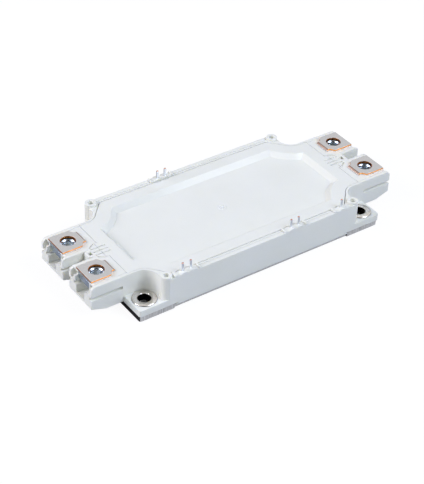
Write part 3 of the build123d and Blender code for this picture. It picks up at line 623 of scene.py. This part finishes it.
def at_four_corners(tree, form, inputs):
    """One form repeated at the corners of a rectangle, raised to a level."""
    corners = add(tree, "GeometryNodeMeshGrid", {
        "Size X": inputs["Spacing X"],
        "Size Y": inputs["Spacing Y"],
        "Vertices X": 2,
        "Vertices Y": 2,
    }).outputs[0]
    pair = {"Points": corners, "Instance": form}
    repeated = add(tree, "GeometryNodeInstanceOnPoints", pair).outputs[0]
    rise = add(tree, "ShaderNodeCombineXYZ", {"Z": inputs["Level"]}).outputs[0]
    lift = {"Geometry": repeated, "Translation": rise}
    return add(tree, "GeometryNodeTransform", lift).outputs[0]


def grown(name, tree, values, start=None):
    """The plain object that a geometry tree makes, its inputs set by their identifiers."""
    thing = object_of(start or bpy.data.meshes.new(name), name)
    modifier = thing.modifiers.new(name, "NODES")
    modifier.node_group = tree
    for item in tree.interface.items_tree:
        if item.in_out == "INPUT" and item.name in values:
            modifier[item.identifier] = values[item.name]
    ready = thing.evaluated_get(bpy.context.evaluated_depsgraph_get())
    mesh = bpy.data.meshes.new_from_object(ready)
    thing.modifiers.remove(modifier)
    thing.data = mesh
    mesh.name = name
    return thing


# Gate mark in the middle of the dish: a low ring round a nib, where the runner broke off
gate_section = [(r * MM, DISH_LEVEL + z * MM) for r, z in GATE_PROFILE]
gate_mark = object_of(turned("gate_mark", gate_section, False), "gate_mark")
gate_mark.data.materials.append(finishes["moulded_pbt"])
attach(gate_mark, "root")


# Mounting bushes: one turned ring at the four corner screws
def bush_turning():
    """One bush as a turned ring, standing on its own origin: rounded rim, rounded mouth, plain bore."""
    low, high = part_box("mounting_bush_1")
    height = high[2] - low[2]
    outer = (high[0] - low[0]) / 2
    bore = BUSH_BORE / 2
    rim = []
    mouth = []
    for step in range(ARC_STEPS + 1):
        a = math.pi / 2 * step / ARC_STEPS
        curl = 1 - math.cos(a)
        fall = 1 - math.sin(a)
        rim.append((outer - BUSH_RIM_RADIUS * curl, height - BUSH_RIM_RADIUS * fall))
        mouth.append((bore + BUSH_MOUTH_RADIUS * fall, height - BUSH_MOUTH_RADIUS * curl))
    return turned("bush_turning", [(outer, 0)] + rim + mouth + [(bore, 0)], True)


def bush_finish_and_shade(face):
    """Bright nickel, with painted shade in the bore and at the foot of the rim."""
    reach = math.hypot(abs(face.center.x) - screw_x, abs(face.center.y) - screw_y)
    in_bore = reach < BUSH_BORE / 2 + MERGE_DISTANCE
    at_foot_of_rim = reach > (right - left) / 2 - RIM_FOOT
    return "painted_shade_bore" if in_bore or at_foot_of_rim else "nickel_plated_steel"


corner_sizes = ["Spacing X", "Spacing Y", "Level"]
(left, front, seat), (right, back, _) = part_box("mounting_bush_1")
screw_x = abs(left + right) / 2
screw_y = abs(front + back) / 2
tree, inputs = size_tree("four_bushes", corner_sizes)
end_tree(tree, at_four_corners(tree, inputs["Geometry"], inputs), finishes["nickel_plated_steel"])
bushes = grown("mounting_bushes_turned", tree, {
    "Spacing X": 2 * screw_x,
    "Spacing Y": 2 * screw_y,
    "Level": seat,
}, bush_turning())
# The bore and the foot of the rim take painted shade
finish_faces(bushes.data, bush_finish_and_shade, "painted_shade_bore")
bush_names = [f"mounting_bush_{number}" for number in range(1, 5)]
placed(bushes, *bush_names)


# Captive nuts
def widen_bore(place, axis):
    """The bore is widened to the thread's root."""
    arm = place.xy - axis
    if arm.length < THREAD_MAJOR / 2:
        place.x, place.y = axis + arm.normalized() * THREAD_MAJOR / 2


def widen_flat(place, axis):
    """The flat in the nose stands out as a wide, low plate."""
    if abs(place.x) > NUT_FLAT:
        place.x = math.copysign(NUT_PLATE_X, place.x)
        place.y = axis.y + NUT_PLATE_WIDER * (place.y - axis.y)
        place.z = max(place.z, NUT_PLATE_BOTTOM)


nuts = merged_copy("terminal_nuts", "terminal_nuts_threaded")
nut_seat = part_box("terminal_nuts")[0][2]
nut_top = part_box("terminal_nuts")[1][2]
for point in nuts.data.vertices:
    x, y, _ = point.co
    nut_axis = Vector((math.copysign(TERMINAL_X, x), math.copysign(TERMINAL_Y, y)))
    widen_bore(point.co, nut_axis)
    widen_flat(point.co, nut_axis)
smoothed(nuts.data)
round_edges(nuts, NUT_EDGE)
placed(nuts, "terminal_nuts")

# Threads, wound inside the nuts' bores. They stop one pitch short of either face
tree, inputs = size_tree("nut_threads", ["Radius", "Ridge", "Height", "Turns", *corner_sizes])
coil = add(tree, "GeometryNodeCurveSpiral", {
    "Resolution": COIL_STEPS,
    "Rotations": inputs["Turns"],
    "Start Radius": inputs["Radius"],
    "End Radius": inputs["Radius"],
    "Height": inputs["Height"],
}).outputs[0]
upright_coil = add(tree, "GeometryNodeSetCurveNormal", {"Curve": coil}, mode="Z_UP").outputs[0]
ridge = add(tree, "GeometryNodeCurvePrimitiveCircle", {
    "Resolution": RIDGE_SIDES,
    "Radius": inputs["Ridge"],
}).outputs["Curve"]
thread = add(tree, "GeometryNodeCurveToMesh", {
    "Curve": upright_coil,
    "Profile Curve": ridge,
    "Fill Caps": True,
}).outputs[0]
end_tree(tree, at_four_corners(tree, thread, inputs), finishes["zinc_plated_steel"])
threads = grown("nut_threads", tree, {
    "Radius": THREAD_MAJOR / 2,
    "Ridge": (THREAD_MAJOR - THREAD_MINOR) / 2,
    "Height": nut_top - nut_seat - 2 * THREAD_PITCH,
    "Turns": (nut_top - nut_seat) / THREAD_PITCH - 2,
    "Spacing X": 2 * TERMINAL_X,
    "Spacing Y": 2 * TERMINAL_Y,
    "Level": nut_seat + THREAD_PITCH,
})
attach(threads, "root")


# Floor
def white_sweep():
    """White paper: it takes the module's soft shadow and looks white to the lens. From below it lets
    the eye through to the underside."""
    material, tree = start_material("white_sweep")
    rays = add(tree, "ShaderNodeLightPath").outputs
    paper = add(tree, "ShaderNodeBsdfDiffuse", {"Color": colour("#B4B5B8")}).outputs[0]
    glow = add(tree, "ShaderNodeEmission", {"Color": WHITE, "Strength": PAPER_GLOW}).outputs[0]
    glow_share = {0: rays["Is Camera Ray"], 1: PAPER_GLOW_SHARE}
    seen = add(tree, "ShaderNodeMath", glow_share, operation="MULTIPLY").outputs[0]
    above = add(tree, "ShaderNodeMixShader", {0: seen, 1: paper, 2: glow}).outputs[0]
    from_below = add(tree, "ShaderNodeNewGeometry").outputs["Backfacing"]
    clear = add(tree, "ShaderNodeBsdfTransparent").outputs[0]
    one_sided = add(tree, "ShaderNodeMixShader", {0: from_below, 1: above, 2: clear}).outputs[0]
    add(tree, "ShaderNodeOutputMaterial", {"Surface": one_sided})
    return material


bpy.ops.mesh.primitive_plane_add(size=FLOOR_SIZE, location=(0, 0, -FLOOR_GAP))
floor = bpy.context.object
floor.name = "floor"
floor.data.materials.append(white_sweep())


# Light
def softbox(name, place, watts, tint):
    """A square softbox that looks at the middle of the module's foot."""
    lamp = bpy.data.lights.new(name, "AREA")
    lamp.size = SOFTBOX_WIDTH
    lamp.energy = watts
    lamp.color = colour(tint)[:3]
    thing = bpy.data.objects.new(name, lamp)
    thing.location = place
    thing.rotation_euler = (-Vector(place)).to_track_quat("-Z", "Y").to_euler()
    bpy.context.scene.collection.objects.link(thing)


# One softbox behind on the left, a cooler one in front on the right, and a low fill from the left
softbox("left_softbox", (-0.877, 0.319, 0.583), 8.4, "#F5F3FF")
softbox("front_softbox", (0.454, -0.648, 0.764), 9.0, "#E1EBFF")
softbox("low_fill", (-0.998, -0.363, 0.285), 1.1, "#E7F7FF")


def studio():
    """The room: the lens sees a white backdrop, shiny metal sees that backdrop with the unlit side of
    the room, and all else gets an even light, a little cool."""
    world = bpy.data.worlds.new("studio")
    world.use_nodes = True
    tree = world.node_tree
    tree.nodes.clear()
    rays = add(tree, "ShaderNodeLightPath").outputs
    toward = add(tree, "ShaderNodeVectorMath", {
        0: add(tree, "ShaderNodeTexCoord").outputs["Generated"],
        1: CAMERA_PLACE.normalized(),
    }, operation="DOT_PRODUCT").outputs["Value"]
    falling_off = add(tree, "ShaderNodeMapRange", {
        "Value": toward,
        "From Min": UNLIT_EDGE,
        "From Max": UNLIT_CORE,
        "To Min": 1.0,
        "To Max": UNLIT,
    }).outputs[0]
    mirroring = {0: rays["Is Glossy Ray"], 1: rays["Is Transmission Ray"]}
    mirrored = add(tree, "ShaderNodeMath", mirroring, operation="MAXIMUM").outputs[0]
    room = add(tree, "ShaderNodeBackground", {"Color": WHITE, "Strength": falling_off}).outputs[0]
    backdrop = add(tree, "ShaderNodeBackground", {"Color": WHITE, "Strength": 1.0}).outputs[0]
    even = {"Color": colour("#F5F8FF"), "Strength": ROOM_LIGHT}
    dome = add(tree, "ShaderNodeBackground", even).outputs[0]
    unseen = add(tree, "ShaderNodeMixShader", {0: mirrored, 1: dome, 2: room}).outputs[0]
    either = {0: rays["Is Camera Ray"], 1: unseen, 2: backdrop}
    surface = add(tree, "ShaderNodeMixShader", either).outputs[0]
    add(tree, "ShaderNodeOutputWorld", {"Surface": surface})
    return world


bpy.context.scene.world = studio()

# Camera
camera = bpy.data.objects.new("camera", bpy.data.cameras.new("camera"))
bpy.context.scene.collection.objects.link(camera)
yaw = Matrix.Rotation(math.radians(CAMERA_YAW), 3, "Z")
tilt = Matrix.Rotation(math.radians(CAMERA_TILT), 3, "X")
roll = Matrix.Rotation(math.radians(CAMERA_ROLL), 3, "Z")
facing = (roll @ tilt @ yaw).transposed().to_4x4()
camera.matrix_world = Matrix.Translation(CAMERA_PLACE) @ facing
camera.data.lens = CAMERA_LENS
camera.data.sensor_width = CAMERA_SENSOR
camera.data.clip_start = CAMERA_NEAR
camera.data.clip_end = CAMERA_FAR
bpy.context.scene.camera = camera
bpy.context.scene.view_settings.view_transform = "Standard"
